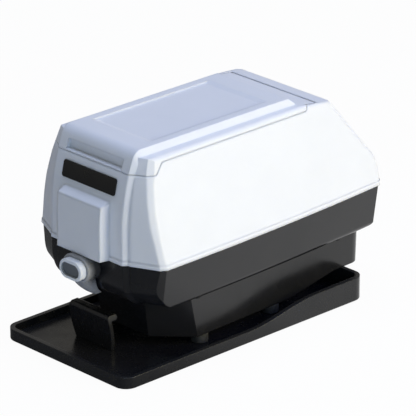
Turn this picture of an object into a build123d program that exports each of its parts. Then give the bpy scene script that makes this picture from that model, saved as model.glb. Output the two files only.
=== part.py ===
"""Hot lather machine: a heated soap whipper with a push spout, standing in a drip tray.

Frame: millimetres, +Z up, -Y to the front (spout side), +Y to the rear (switch side).
The origin is on the tray's underside, midway between its sides.
"""
import os
from math import atan2, cos, degrees, hypot, radians, sin, sqrt

from build123d import *

# ---------------------------------------------------------------- tray
tray_width = 114.0
tray_front = 104.5
tray_rear = 108.0
tray_corner = 9.0
tray_floor = 3.0
tray_wall = 3.2
tray_rim_front = 8.0
tray_rim_rear = 16.0
tray_sweep_start = 2.0
tray_sweep_end = 66.0
tray_edge_round = 0.9

# ---------------------------------------------------------------- drip shield
shield_width = 37.5
shield_height = 25.0
shield_x = -6.5
shield_y = -76.0
shield_thick = 3.0
shield_lip = 5.0
shield_slot_depth = 1.2
shield_tab_width = 12.0
shield_tab_thick = 2.0
shield_lean = 4.0
shield_waist = 3.4

# ---------------------------------------------------------------- machine heights
foot_height = 6.5
foot_radius = 5.5
foot_inset = 6.5
foot_front_y = -22.0
foot_screw_radius = 1.5
pan_height = 31.0
housing_height = 31.0
hood_height = 68.8
spine_rise = 4.1

# ---------------------------------------------------------------- machine outline
hood_front = 81.0
hood_rear = 130.0
hood_half_front = 57.2
hood_half_rear = 47.8
hood_side_bow = 3.2
hood_drafts = (14.5, 13.6, 6.8)
hood_edge_round = 3.5
facet_half = 37.0
facet_turn = 25.0
corner_turn = 58.0
corner_cut = 1.4
rear_corner_turn = 135.0
rear_corner_cut = 1.6
front_straight = 20.0
front_arc_radius = 125.0
front_edge_round = 8.0
rear_top_y = 88.8
rear_drop = 2.5
rear_break_z = 20.0
rear_slant_back = 37.5
shell_wall = 2.5
seam_step = 0.6
seam_lip = 0.5
column_inset = 9.5
column_setback_front = 46.0
column_setback_rear = 35.0
column_radius = 4.0
column_web_half = 1.2
column_height = 18.0
column_screw = 1.5
lip_height = 3.0

# ---------------------------------------------------------------- spine, boss, plate
spine_half = 35.4
spine_bevel = 2.9
spine_front_rise = 3.2
spine_rear_y = 64.0
panel_half = 26.5
panel_front_y = -55.0
panel_rear_y = 47.0
panel_depth = 1.0
panel_ramp = 4.0
boss_half = 19.8
boss_rise = 7.0
boss_bevel = 3.0
boss_side_bevel = 1.4
boss_height = 36.0
plate_half = 24.4
plate_height = 10.6
plate_above_seam = 43.3
plate_thick = 1.2
plate_corner = 1.6

# ---------------------------------------------------------------- lid
lid_front_drop = 10.0
lid_side_drop = 3.2
lid_step_y = -66.0
lid_step_length = 6.0
lid_skin = 2.4
lid_front_block = 12.0
lid_gap = 0.35
lid_lip_gap = 1.1
lid_lip_wall = 1.6
lid_lip_depth = 3.0
lid_lip_rear = 35.0
grip_half = 25.5
grip_lip = 0.9
grip_height = 6.5
grip_depth = 4.0
grip_top_depth = 1.8
hinge_y = 71.0
hinge_depth = 5.5
hinge_nose = 7.3
hinge_nose_wall = 1.8
hinge_nose_gap = 0.8
hinge_end_round = 5.5
hinge_pin_radius = 1.1
hinge_head_radius = 2.1
hinge_arm_inner = 17.0
hinge_arm_width = 4.4
hinge_post_width = 4.2
hinge_side_gap = 0.4
beam_thick = 2.6
running_gap = 0.05
free_gap = 0.3

# ---------------------------------------------------------------- lower housing and base pan
housing_draft = 4.6
housing_front_arc = 19.5
housing_rear_arc = 9.0
housing_edge_round = 5.0
pan_half_front = 45.0
pan_half_rear = 38.5
pan_front = 58.0
pan_rear = 122.0
pan_lean = 6.0
pan_facet_half = 24.0
pan_edge_round = 1.5
pan_wall = 2.5
pan_neck = 1.5
pan_vent_count = 7
pan_vent_pitch = 7.0
pan_vent_width = 3.0
pan_vent_length = 34.0

pan_draft = 1.5
pan_rear_corner = 9.0
pan_neck_inset = 1.0
pan_vent_y = 8.0
pan_flat_end = 50.0
pan_rise_end = 96.0
pan_rim_gap = 1.2
pan_screw = 1.6
pan_screw_sink = 14.0
pan_screw_front = (27.0, -22.0)
pan_screw_rear = (24.0, 92.0)
foot_screw_grip = 8.0
foot_edge_round = 0.8

# ---------------------------------------------------------------- spout and button
button_below_seam = 9.0
button_gap = 0.3
button_web = 2.8
button_width = 20.5
button_height = 13.0
button_proud = 4.6
button_skirt = 2.6
button_travel = 2.5
button_wall = 1.6
button_dish = 1.2
button_rim = 2.2
spout_wall = 1.6
spout_reach = 9.6
spout_recess = 1.3
spout_root_depth = 8.0
spout_web_depth = 11.4
spout_tip_drop = 20.5
spout_tip_back = 6.8
spout_tip_width = 7.6
spout_tip_depth = 6.6
spout_tip_wall = 1.2
spout_throat_width = 8.0
spout_throat_depth = 3.0
gasket_thick = 1.0

# ---------------------------------------------------------------- mixing chamber and drive
chamber_radius = 16.0
chamber_wall = 3.0
chamber_length = 34.0
chamber_setback = 9.5
nipple_radius = 5.0
nipple_bore = 3.3
nipple_seat = 0.8
chamber_cap_thick = 4.0
chamber_cap_rim = 2.0
o_ring_section = 1.6
heater_thick = 2.0
heater_length = 15.0
heater_offset = 5.0
thermostat_radius = 7.0
thermostat_height = 3.2
stem_radius = 1.6
stem_seal_radius = 4.6
stem_seal_thick = 2.2
spring_wire = 0.6
spring_radius = 3.6
spring_turns = 4
spring_pocket = 3.0
shaft_radius = 2.5
whipper_radius = 11.0
whipper_blades = 8
whipper_length = 12.0
whipper_hub = 4.5
blade_thick = 1.4
seal_radius = 6.0
seal_thick = 3.0
coupling_radius = 6.0
coupling_length = 10.0
hub_radius = 8.2
hub_wall = 1.2
motor_radius = 16.5
motor_length = 44.0
motor_wall = 1.5
motor_cap_thick = 3.0
motor_rotor_radius = 11.5
bearing_radius = 5.5
bearing_length = 4.0
bracket_thick = 2.0
bracket_half = 19.0
bracket_foot = 12.0
bracket_screw_radius = 1.6
screw_head_ratio = 1.9
screw_head_height = 1.8
motor_screw_offset = 12.2
motor_shaft = 1.6
motor_slots = 5

# ---------------------------------------------------------------- tank, deck and electrics
deck_clear = 1.5
deck_thick = 2.0
deck_half = 40.0
deck_setback = 5.5
deck_hinge_gap = 13.0
post_radius = 4.0
deck_post_x = 30.0
deck_post_inset_front = 10.0
deck_post_inset_rear = 4.0
deck_screw = 1.5
bracket_screw_x = 13.0
tank_half = 38.0
tank_setback = 23.5
tank_hinge_gap = 21.0
tank_clear = 1.0
tank_wall = 2.0
tank_corner = 10.0
tank_flange = 2.5
outlet_gap = 1.5
outlet_radius = 4.0
outlet_bore = 2.2
tank_gasket_thick = 1.0
switch_x = -24.0
switch_rise = 1.5
switch_width = 20.0
switch_height = 14.0
bezel_border = 2.0
bezel_thick = 1.6
bezel_wall = 1.2
switch_depth = 12.0
rocker_pin = 0.8
rocker_throw = 14.0
gland_x = 24.0
gland_rise = 4.0
gland_radius = 8.0
gland_bore = 3.5
gland_flange = 1.8
gland_length = 9.0
wall_cut = 11.0
micro_width = 20.0
micro_height = 9.5
micro_depth = 6.0
tail_radius = 0.9
tail_x = 6.9
tail_length = 20.4
plunger_radius = 1.0
plunger_drop = 1.3
block_x = -15.0
block_y = 84.0
block_ways = 3
block_width = 30.0
block_length = 14.0
block_height = 12.0

# ---------------------------------------------------------------- values worked out from the above
seat_z = tray_floor + foot_height
neck_z = seat_z + pan_height
seam_z = neck_z + housing_height
shoulder_z = seam_z + hood_height
spine_z = shoulder_z + spine_rise
hinge_z = shoulder_z - hinge_depth
lid_side_z = shoulder_z - lid_side_drop
lid_front_z = shoulder_z - lid_front_drop
spine_front = hood_front + spine_front_rise
axis_z = seam_z - button_below_seam
chamber_front_y = -hood_front + chamber_setback
outlet_y = chamber_front_y + heater_offset + heater_length + outlet_radius + outlet_gap
deck_z = axis_z + motor_radius + deck_clear
deck_front_y = -hood_front + deck_setback
deck_rear_y = hinge_y - deck_hinge_gap
deck_post_front = deck_front_y + deck_post_inset_front
deck_post_rear = deck_rear_y - deck_post_inset_rear
tank_front_y = -hood_front + tank_setback
tank_rear_y = hinge_y - tank_hinge_gap
tank_top = hinge_z - hinge_nose - tank_clear
switch_z = neck_z + housing_height / 2 + switch_rise
gland_z = neck_z + housing_height / 2 + gland_rise
far = 400.0
below = 20.0
side_overrun = 12.0
least_round = 0.6

PARTS = {}


def keep(name, shape):
    """Stores one node and writes its STEP file."""
    solids = shape.solids()
    shape = solids[0] if len(solids) == 1 else Compound(children=list(solids))
    shape.label = name
    PARTS[name] = shape
    export_step(shape, os.path.join("parts", name + ".step"))


def box(x, y, z):
    """Box between the pairs of limits x, y and z."""
    size = [pair[1] - pair[0] for pair in (x, y, z)]
    middle = [(pair[1] + pair[0]) / 2 for pair in (x, y, z)]
    return Pos(*middle) * Box(*size)


def rod(radius, y_from, y_to, x=0.0, z=None):
    """Cylinder along Y."""
    height = axis_z if z is None else z
    middle = (y_from + y_to) / 2
    return Pos(x, middle, height) * Rot(90, 0, 0) * Cylinder(radius, abs(y_to - y_from))


def tube(outer, inner, y_from, y_to, x=0.0, z=None):
    return rod(outer, y_from, y_to, x, z) - rod(inner, y_from - 1, y_to + 1, x, z)


def upright(radius, x, y, z_from, z_to):
    """Cylinder along Z."""
    return Pos(x, y, (z_from + z_to) / 2) * Cylinder(radius, z_to - z_from)


def cross_rod(radius, x_from, x_to, y, z):
    """Cylinder along X."""
    return Pos((x_from + x_to) / 2, y, z) * Rot(0, 90, 0) * Cylinder(radius, x_to - x_from)


def side_prism(edges, half=far, turn=0.0):
    """Prism across the machine whose outline in Y and Z is the closed chain of edges."""
    face = make_face(Plane.YZ * Wire(edges))
    return Rot(0, 0, turn) * extrude(face, amount=half, both=True)


def side_polygon(points, half=far):
    return side_prism(Polyline(points, close=True).edges(), half)


# ---------------------------------------------------------------- the machine's outer forms
def front_chain(distance, inset):
    """Front line of the hood: straight up, then an arc that leans back to the spine's top."""
    start = seam_z + front_straight
    radius = front_arc_radius - inset
    centre_y = -distance + front_arc_radius
    top = spine_z - start
    end_y = centre_y - sqrt(radius**2 - top**2)
    turn = atan2(top, sqrt(radius**2 - top**2)) / 2
    middle = (centre_y - radius * cos(turn), start + radius * sin(turn))
    first = (-distance + inset, start)
    return first, middle, (end_y, spine_z)


def front_tool(distance, inset, turn=0.0):
    """Everything behind one front face of the hood, with that face at a distance from the axis."""
    first, middle, last = front_chain(distance, inset)
    edges = [
        Line((first[0], seam_z - far), first),
        ThreePointArc(first, middle, last),
        Line(last, (last[0], far)),
        Line((last[0], far), (far, far)),
        Line((far, far), (far, seam_z - far)),
        Line((far, seam_z - far), (first[0], seam_z - far)),
    ]
    return side_prism(edges, turn=turn)


def facet_distance(front):
    """Distance of a corner facet's plane from the axis, so that it meets the front at facet_half."""
    return facet_half * sin(radians(facet_turn)) + front * cos(radians(facet_turn))


def side_section(y, half_wide, half_narrow, wide_z, narrow_z, edge_round):
    """Cross-section at one y: a trapezium whose narrow end has rounded corners."""
    corners = [(-half_wide, wide_z), (half_wide, wide_z), (half_narrow, narrow_z), (-half_narrow, narrow_z)]
    face = make_face(Polyline(corners, close=True))
    narrow = [v for v in face.vertices() if abs(v.Y - narrow_z) < 0.01]
    face = fillet(narrow, edge_round)
    return Plane(origin=(0, y, 0), x_dir=(1, 0, 0), z_dir=(0, -1, 0)) * face


def along(y):
    """Share of the way from the front end of the side surfaces to their rear end."""
    return (y + hood_front + side_overrun) / (hood_front + hood_rear + 2 * side_overrun)


def seam_half(y):
    """Half-width of the hood at the seam: it tapers to the rear and bows outwards."""
    share = along(y)
    straight = hood_half_front + (hood_half_rear - hood_half_front) * share
    return straight + hood_side_bow * (1 - (2 * share - 1) ** 2)


def hood_half(y, z):
    """Half-width of the hood at one y and height; the sides lean in most at the front."""
    share = along(y)
    front, middle, rear = hood_drafts
    draft = front * (1 - share) * (1 - 2 * share) + 4 * middle * share * (1 - share)
    draft += rear * share * (2 * share - 1)
    return seam_half(y) - draft * (z - seam_z) / hood_height


def housing_half(y, z):
    return seam_half(y) - seam_step - housing_draft * (seam_z - z) / housing_height


def side_body(half_at, wide_z, narrow_z, inset, edge_round):
    """Body between the two leaning sides, its half-width given for each y and height."""
    sections = []
    for share in (0.0, 0.5, 1.0):
        y = -hood_front - side_overrun + share * (hood_rear + hood_front + 2 * side_overrun)
        halves = (half_at(y, wide_z) - inset, half_at(y, narrow_z) - inset)
        sections.append(side_section(y, *halves, wide_z, narrow_z, edge_round))
    return loft(sections)


def hood_side(inset, top_inset=None):
    """The hood's sides and the rounded edges along its shoulders."""
    edge = max(hood_edge_round - inset, least_round)
    top = shoulder_z - (inset if top_inset is None else top_inset)
    return side_body(hood_half, seam_z - below, top, inset, edge)


def front_corner(z, half_at):
    """Place where a corner facet meets the side at a height."""
    lean = front_y(0, z) if z > seam_z + front_straight else 0.0
    distance = facet_distance(hood_front) - lean
    x = half_at(-hood_front, z)
    y = (x * sin(radians(facet_turn)) - distance) / cos(radians(facet_turn))
    return half_at(y, z), y


def corner_line(turn, cut, places):
    """Distances, along one direction, of corner places at several heights, less the cut."""
    across, back = sin(radians(turn)), cos(radians(turn))
    return [(-(x * across - y * back - cut), z) for x, y, z in places]


def corner_tool(line, turn):
    """Everything inside a line of strips that takes the edge off an upright corner."""
    low, high = line[0], line[-1]
    outline = [(low[0], low[1] - far), *line, (high[0], high[1] + far)]
    outline += [(far, high[1] + far), (far, low[1] - far)]
    return Rot(0, 0, turn) * side_polygon(outline)


def trim_corners(body, inset, front_places, rear_places):
    """Takes the edge off all four upright corners of a body."""
    for turn, cut, places in (
        (corner_turn, corner_cut, front_places),
        (rear_corner_turn, rear_corner_cut, rear_places),
    ):
        line = corner_line(turn, cut + inset, places)
        body &= corner_tool(line, turn)
        body &= corner_tool(line, -turn)
    return body


def hood_back(inset):
    """Top and rear of the shoulders: flat, falling a little to the rear edge, then a long slant."""
    top = shoulder_z - inset
    edge = (rear_top_y - 0.6 * inset, shoulder_z - rear_drop - inset)
    knee = (rear_top_y + rear_slant_back - inset, seam_z + rear_break_z)
    base_y = hood_rear - inset
    edges = [
        Line((-far, -far), (-far, top)),
        Line((-far, top), (spine_rear_y, top)),
        Line((spine_rear_y, top), edge),
        Line(edge, knee),
        Line(knee, (base_y, seam_z + rear_break_z / 2)),
        Line((base_y, seam_z + rear_break_z / 2), (base_y, -far)),
        Line((base_y, -far), (-far, -far)),
    ]
    return side_prism(edges)


def hood_corners():
    """Places of the hood's front and rear corners from the seam up."""
    straight, top = seam_z + front_straight, shoulder_z
    heights = [seam_z, straight, (2 * straight + top) / 3, (straight + 2 * top) / 3, top]
    front = [(*front_corner(z, hood_half), z) for z in heights]
    rear = [
        (hood_rear, seam_z),
        (hood_rear, seam_z + rear_break_z / 2),
        (rear_top_y + rear_slant_back, seam_z + rear_break_z),
        (rear_top_y, shoulder_z - rear_drop),
        (rear_top_y - 2 * rear_drop, shoulder_z),
    ]
    return front, [(hood_half(y, z), y, z) for y, z in rear]


def shoulders(inset=0.0):
    """Hood and lid together, without the raised spine."""
    body = hood_side(inset) & hood_back(inset) & front_tool(hood_front, inset)
    for turn in (facet_turn, -facet_turn):
        body &= front_tool(facet_distance(hood_front), inset, turn)
    return trim_corners(body, inset, *hood_corners())


def spine_profile(proud, x, front_rise, inset):
    """Side outline of the spine as a face at one x, proud of the shoulders by some height."""
    rear_y = spine_rear_y - inset * sqrt(2)
    first = front_chain(hood_front + front_rise, 0)[0]
    top = shoulder_z + proud
    start = seam_z + front_straight
    span = top - start
    centre_y = first[0] + front_arc_radius
    end = (centre_y - sqrt(front_arc_radius**2 - span**2), top)
    half_turn = atan2(span, centre_y - end[0]) / 2
    middle = (centre_y - front_arc_radius * cos(half_turn), start + front_arc_radius * sin(half_turn))
    edges = [
        Line((first[0], seam_z - below), first),
        ThreePointArc(first, middle, end),
        Line(end, (rear_y - proud, top)),
        Line((rear_y - proud, top), (rear_y, shoulder_z)),
        Line((rear_y, shoulder_z), (rear_y, seam_z - below)),
        Line((rear_y, seam_z - below), (first[0], seam_z - below)),
    ]
    face = make_face(Wire(edges))
    corner = [v for v in face.vertices() if abs(v.X - end[0]) < 0.01 and abs(v.Y - top) < 0.01]
    face = fillet(corner, front_edge_round)
    return Plane(origin=(x, 0, 0), x_dir=(0, 1, 0), z_dir=(1, 0, 0)) * face


def spine(inset=0.0):
    """Raised band that runs up the front and over the top, with bevelled long edges."""
    inner = spine_half - spine_bevel
    rise, front_rise = spine_rise - inset, spine_front_rise - inset
    body = extrude(spine_profile(rise, 0, front_rise, inset), amount=inner - inset, both=True)
    for side in (1, -1):
        near = spine_profile(rise, side * (inner - inset), front_rise, inset)
        outer = spine_profile(0.02, side * (spine_half - inset), 0.02 - inset, inset)
        body += loft([near, outer], ruled=True)
    return body


def upper_form(inset=0.0):
    """Hood and lid together; a cavity deeper than the spine stands proud has none of it."""
    if spine_rise - inset < least_round:
        return shoulders(inset)
    return shoulders(inset) + spine(inset)


def above(z):
    return box((-far, far), (-far, far), (z, far))


def front_y(distance, z):
    """Y of a hood front face at a height."""
    rise = max(z - seam_z - front_straight, 0.0)
    return -distance + front_arc_radius - sqrt(front_arc_radius**2 - rise**2)


# ---------------------------------------------------------------- hood
def boss_profile(proud, top, x):
    """Side outline of the front boss at one x: it follows the hood's front and has a bevelled top."""
    distance = spine_front + proud
    knee = (-distance, seam_z + front_straight)
    rise = top - knee[1]
    half_turn = atan2(rise, front_arc_radius) / 2
    middle = (
        -distance + front_arc_radius * (1 - cos(half_turn)),
        knee[1] + front_arc_radius * sin(half_turn),
    )
    corner = (front_y(distance, top), top)
    back = (front_y(spine_front, top) + 1.0, top + boss_bevel * proud / boss_rise)
    edges = [
        Line((-distance, seam_z), knee),
        ThreePointArc(knee, middle, corner),
        Line(corner, back),
        Line(back, (back[0], seam_z)),
        Line((back[0], seam_z), (-distance, seam_z)),
    ]
    face = make_face(Wire(edges))
    return Plane(origin=(x, 0, 0), x_dir=(0, 1, 0), z_dir=(1, 0, 0)) * face


def front_boss():
    """Raised pad over the button, with bevelled sides and top."""
    top = seam_z + boss_height
    body = extrude(boss_profile(boss_rise, top, 0), amount=boss_half, both=True)
    for side in (1, -1):
        inner = boss_profile(boss_rise, top, side * boss_half)
        outer = boss_profile(0.02, top + boss_bevel, side * (boss_half + boss_side_bevel))
        body += loft([inner, outer], ruled=True)
    return body


def plate_blank(outwards, inwards, spare=0.0):
    """Slice along the spine's front where the plate sits, between two depths."""
    slab = front_tool(spine_front + outwards, 0) - front_tool(spine_front - inwards, 0)
    middle_z = seam_z + plate_above_seam + plate_height / 2
    outline = RectangleRounded(2 * (plate_half + spare), plate_height + 2 * spare, plate_corner)
    window = Plane(origin=(0, 0, middle_z), x_dir=(1, 0, 0), z_dir=(0, -1, 0)) * outline
    return slab & extrude(window, amount=far)


def nose_half():
    """Half-width of the lid's turning nose, which fits between the hood's side walls."""
    return hood_half(hinge_y + hinge_nose, shoulder_z) - shell_wall - hinge_nose_gap


def lid_outline(gap, tail):
    """Prism over the parting line between hood and lid, ended at the rear by its last points."""
    side_z, front_z = lid_side_z - gap, lid_front_z - gap
    step_y = lid_step_y + gap
    outline = [(-far, far), (-far, front_z), (step_y, front_z), (step_y + lid_step_length, side_z)]
    return side_polygon(outline + tail)


def lid_zone(gap=0.0):
    """Space that the lid takes out of the upper form, grown by a gap for the hood's opening.

    Over the side walls it stays outside a cylinder round the hinge, so that the lid turns clear.
    """
    side_z = lid_side_z - gap
    zone = lid_outline(gap, [(hinge_y, side_z), (hinge_y, far)])
    zone -= cross_rod(hinge_end_round - gap, -far, far, hinge_y, hinge_z)
    reach = hinge_nose + gap
    middle = lid_outline(gap, [(hinge_y, side_z), (hinge_y + reach, side_z), (hinge_y + reach, far)])
    nose = cross_rod(reach, -far, far, hinge_y, hinge_z)
    if gap:
        middle += nose
    else:
        middle &= nose + box((-far, far), (-far, hinge_y), (-far, far))
    half = nose_half() + gap
    return zone + (middle & box((-half, half), (-far, far), (-far, far)))


def hinge_offsets():
    """X limits of one hinge arm and of the post beside it."""
    arm = (hinge_arm_inner, hinge_arm_inner + hinge_arm_width)
    post = (arm[1] + hinge_side_gap, arm[1] + hinge_side_gap + hinge_post_width)
    return arm, post


def hinge_post(side):
    """Post that rises from the cross beam to the hinge pin, clear of the lid's turning nose."""
    limits = sorted(side * x for x in hinge_offsets()[1])
    base = hinge_z - hinge_nose - beam_thick
    head = hinge_head_radius
    outline = [
        (hinge_y - 3.2 * head, base),
        (hinge_y - 0.6 * head, base),
        (hinge_y + 0.9 * head, hinge_z - 0.4 * head),
        (hinge_y - 0.8 * head, hinge_z + 0.6 * head),
    ]
    stem = side_polygon(outline) & box(limits, (-far, far), (-far, far))
    return stem + cross_rod(head, *limits, hinge_y, hinge_z)


def hood_columns():
    """Places of the four screw columns that join the hood to the lower housing."""
    rows = (column_setback_front - hood_front, hood_rear - column_setback_rear)
    return [(side * (seam_half(y) - column_inset), y) for side in (1, -1) for y in rows]


def column_web(x, y, z_from, z_to):
    """Web that joins a screw column to the wall beside it."""
    reach = column_inset if x > 0 else -column_inset
    return box(sorted((x, x + reach)), (y - column_web_half, y + column_web_half), (z_from, z_to))


def make_hood():
    skin = (upper_form() - upper_form(shell_wall)) & above(seam_z)
    skin += (upper_form(-seam_lip) - upper_form(shell_wall)) & machine_cut(seam_z, seam_z + lip_height)
    skin -= lid_zone(lid_gap)
    inside = upper_form(shell_wall / 2)
    bulkhead_y = hinge_y + hinge_nose + lid_gap
    beam_top = hinge_z - hinge_nose - free_gap
    beam_y = (hinge_y - 3.4 * hinge_head_radius, bulkhead_y + shell_wall)
    beam = box((-far, far), beam_y, (beam_top - beam_thick, beam_top))
    bulkhead = box((-far, far), (bulkhead_y, bulkhead_y + shell_wall), (beam_top - beam_thick, far))
    skin += (beam + bulkhead) & inside
    for side in (1, -1):
        skin += hinge_post(side)
    top = seam_z + column_height
    for x, y in hood_columns():
        skin += (upright(column_radius, x, y, seam_z, top) + column_web(x, y, seam_z, top)) & inside
    for x, y in hood_columns():
        skin -= upright(column_screw, x, y, seam_z - 1, top - 2)
    reach = hinge_offsets()[1][1] + 1
    skin -= cross_rod(hinge_pin_radius + running_gap, -reach, reach, hinge_y, hinge_z)
    skin += front_boss() - upper_form(shell_wall)
    skin -= plate_blank(far / 2, plate_thick / 2)
    return skin


def make_name_plate():
    return plate_blank(plate_thick / 2, plate_thick / 2)


# ---------------------------------------------------------------- lid
def grip_slot():
    """Straight-sided finger recess in the lid's front, with an upright back over a thin lip."""
    low = lid_front_z + grip_lip
    high = low + grip_height
    back_low = front_y(spine_front, low) + grip_depth
    back_high = front_y(spine_front, high) + grip_top_depth
    return side_polygon([(-far, low), (back_low, low), (back_high, high), (-far, high)], grip_half)


def top_panel():
    """Shallow panel recess in the top of the spine, with ramped ends."""
    floor = spine_z - panel_depth
    outline = [
        (panel_front_y, spine_z),
        (panel_front_y + panel_ramp, floor),
        (panel_rear_y - panel_ramp, floor),
        (panel_rear_y, spine_z),
        (panel_rear_y, spine_z + 5),
        (panel_front_y, spine_z + 5),
    ]
    return side_polygon(outline, panel_half)


def make_lid():
    outer = upper_form() & lid_zone()
    block_y = front_y(spine_front, lid_front_z) + lid_front_block
    bore = hinge_nose - hinge_nose_wall
    half = nose_half()
    cavity = upper_form(lid_skin) & box((-far, far), (block_y, hinge_y + bore), (-far, far))
    round_end = cross_rod(bore, -half, half, hinge_y, hinge_z)
    front_part = box((-far, far), (-far, hinge_y - hinge_end_round - lid_skin), (-far, far))
    cavity &= front_part + box((-half, half), (-far, hinge_y), (-far, far)) + round_end
    body = outer - cavity
    lip_inset = shell_wall + lid_lip_gap
    lip = hood_side(lip_inset, 0) - hood_side(lip_inset + lid_lip_wall, -1)
    lip_top = shoulder_z - lid_skin / 2
    lip &= box((-far, far), (block_y + 2, hinge_y - lid_lip_rear), (lid_side_z - lid_lip_depth, lip_top))
    body += lip
    nose = cross_rod(hinge_nose, -half, half, hinge_y, hinge_z)
    nose -= cross_rod(bore, -far, far, hinge_y, hinge_z)
    nose &= box((-far, far), (hinge_y, far), (hinge_z + 0.5, shoulder_z - lid_skin / 2))
    body += nose
    arm_limits = hinge_offsets()[0]
    for side in (1, -1):
        limits = sorted(side * x for x in arm_limits)
        head = hinge_head_radius
        arm = box(limits, (hinge_y - head, hinge_y + head), (hinge_z, spine_z))
        arm += cross_rod(head, *limits, hinge_y, hinge_z)
        body += arm & upper_form(lid_skin / 2)
    body -= cross_rod(hinge_pin_radius, -arm_limits[1], arm_limits[1], hinge_y, hinge_z)
    return body - grip_slot() - top_panel()


def make_hinge_pins():
    arm, post = hinge_offsets()
    pins = []
    for side in (1, -1):
        limits = sorted((side * arm[0], side * post[1]))
        pins.append(cross_rod(hinge_pin_radius, *limits, hinge_y, hinge_z))
    return Compound(children=pins)


# ---------------------------------------------------------------- lower housing
def housing_tool(distance, inset, turn=0.0):
    """Everything behind one front face of the lower housing, which curls under at the bottom."""
    face_y = -distance + inset
    bottom = neck_z + inset
    radius = housing_front_arc
    middle = (face_y + radius * (1 - cos(radians(45))), bottom + radius * (1 - cos(radians(45))))
    edges = [
        Line((face_y, far), (face_y, bottom + radius)),
        ThreePointArc((face_y, bottom + radius), middle, (face_y + radius, bottom)),
        Line((face_y + radius, bottom), (far, bottom)),
        Line((far, bottom), (far, far)),
        Line((far, far), (face_y, far)),
    ]
    return side_prism(edges, turn=turn)


def housing_side(inset):
    edge = max(housing_edge_round - inset, least_round)
    return side_body(housing_half, seam_z + below, neck_z + inset, inset, edge)


def housing_back(inset):
    """Rear wall of the lower housing with its rounded foot."""
    wall_y = hood_rear - seam_step - inset
    bottom = neck_z + inset
    radius = housing_rear_arc
    middle = (wall_y - radius * (1 - cos(radians(45))), bottom + radius * (1 - cos(radians(45))))
    edges = [
        Line((-far, far), (wall_y, far)),
        Line((wall_y, far), (wall_y, bottom + radius)),
        ThreePointArc((wall_y, bottom + radius), middle, (wall_y - radius, bottom)),
        Line((wall_y - radius, bottom), (-far, bottom)),
        Line((-far, bottom), (-far, far)),
    ]
    return side_prism(edges)


def band_profile(front, x, inset):
    """Side outline of the spine's continuation down the front of the lower housing."""
    bottom = neck_z + inset
    radius = housing_front_arc
    middle = (-front + radius * (1 - cos(radians(45))), bottom + radius * (1 - cos(radians(45))))
    edges = [
        Line((-front, seam_z + below), (-front, bottom + radius)),
        ThreePointArc((-front, bottom + radius), middle, (-front + radius, bottom)),
        Line((-front + radius, bottom), (0, bottom)),
        Line((0, bottom), (0, seam_z + below)),
        Line((0, seam_z + below), (-front, seam_z + below)),
    ]
    face = make_face(Wire(edges))
    return Plane(origin=(x, 0, 0), x_dir=(0, 1, 0), z_dir=(1, 0, 0)) * face


def lower_band(inset):
    front = spine_front - seam_step - inset
    half = spine_half - inset
    body = extrude(band_profile(front, 0, inset), amount=half - spine_bevel, both=True)
    for side in (1, -1):
        inner = band_profile(front, side * (half - spine_bevel), inset)
        outer = band_profile(hood_front - seam_step - inset, side * half, inset)
        body += loft([inner, outer], ruled=True)
    return body


def housing_corners():
    """Places of the lower housing's front and rear corners at its foot and at the seam."""
    foot = housing_draft * below / housing_height
    front, rear = [], []
    for z, shift in ((neck_z, -housing_draft), (seam_z, 0.0), (seam_z + below, foot)):
        x, y = front_corner(seam_z, hood_half)
        front.append((x + shift, y, z))
        rear.append((seam_half(hood_rear) + shift, hood_rear, z))
    return front, rear


def lower_form(inset=0.0):
    body = housing_side(inset) & housing_back(inset)
    body &= housing_tool(hood_front - seam_step, inset)
    for turn in (facet_turn, -facet_turn):
        body &= housing_tool(facet_distance(hood_front) - seam_step, inset, turn)
    return trim_corners(body, inset + seam_step, *housing_corners()) + lower_band(inset)


def machine_cut(z_from, z_to):
    return box((-far, far), (-far, far), (z_from, z_to))


def make_lower_housing():
    hollow = lower_form(shell_wall) & above(neck_z + shell_wall)
    body = (lower_form() - hollow) & machine_cut(neck_z, seam_z)
    floor = neck_z + shell_wall
    inside = lower_form(shell_wall / 2)
    for side in (1, -1):
        for y in (deck_post_front, deck_post_rear):
            body += upright(post_radius, side * deck_post_x, y, floor - 0.5, deck_z)
            body -= upright(deck_screw, side * deck_post_x, y, deck_z - 10, deck_z + 1)
    for x, y in hood_columns():
        web = column_web(x, y, floor - 0.5, seam_z)
        body += (upright(column_radius, x, y, floor - 0.5, seam_z) + web) & inside
        body -= upright(column_screw, x, y, neck_z - 1, seam_z + 1)
        body -= upright(column_screw * screw_head_ratio, x, y, neck_z - 1, neck_z + screw_head_height)
    for x, y in pan_screws():
        body += upright(post_radius, x, y, floor - 0.5, floor + 6)
        body -= upright(pan_screw, x, y, neck_z - 1, floor + 6)
    for side in (1, -1):
        x, y = side * bracket_screw_x, bracket_screw_y()
        body -= upright(bracket_screw_radius, x, y, floor - 3, floor + 1)
    body -= rod(nipple_radius, -far, chamber_front_y)
    body -= rod(tail_radius + free_gap, -far, chamber_front_y, x=tail_x)
    body -= box(
        (switch_x - switch_width / 2, switch_x + switch_width / 2),
        (rear_wall_y() - wall_cut, far),
        (switch_z - switch_height / 2, switch_z + switch_height / 2),
    )
    body -= rod(gland_radius, rear_wall_y() - wall_cut, far, x=gland_x, z=gland_z)
    return body


# ---------------------------------------------------------------- base pan, feet and their screws
def pan_screws():
    """Places of the four long screws that hold the pan under the lower housing."""
    return [(side * x, y) for side in (1, -1) for x, y in (pan_screw_front, pan_screw_rear)]


def pan_half(y):
    """Half-width of the pan at one y."""
    share = (y + pan_front + side_overrun) / (pan_rear + pan_front + side_overrun)
    return pan_half_front + (pan_half_rear - pan_half_front) * share


def foot_places():
    rear = pan_flat_end - foot_radius - 1.5
    return [(side * (pan_half(y) - foot_inset), y) for side in (1, -1) for y in (foot_front_y, rear)]


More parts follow.
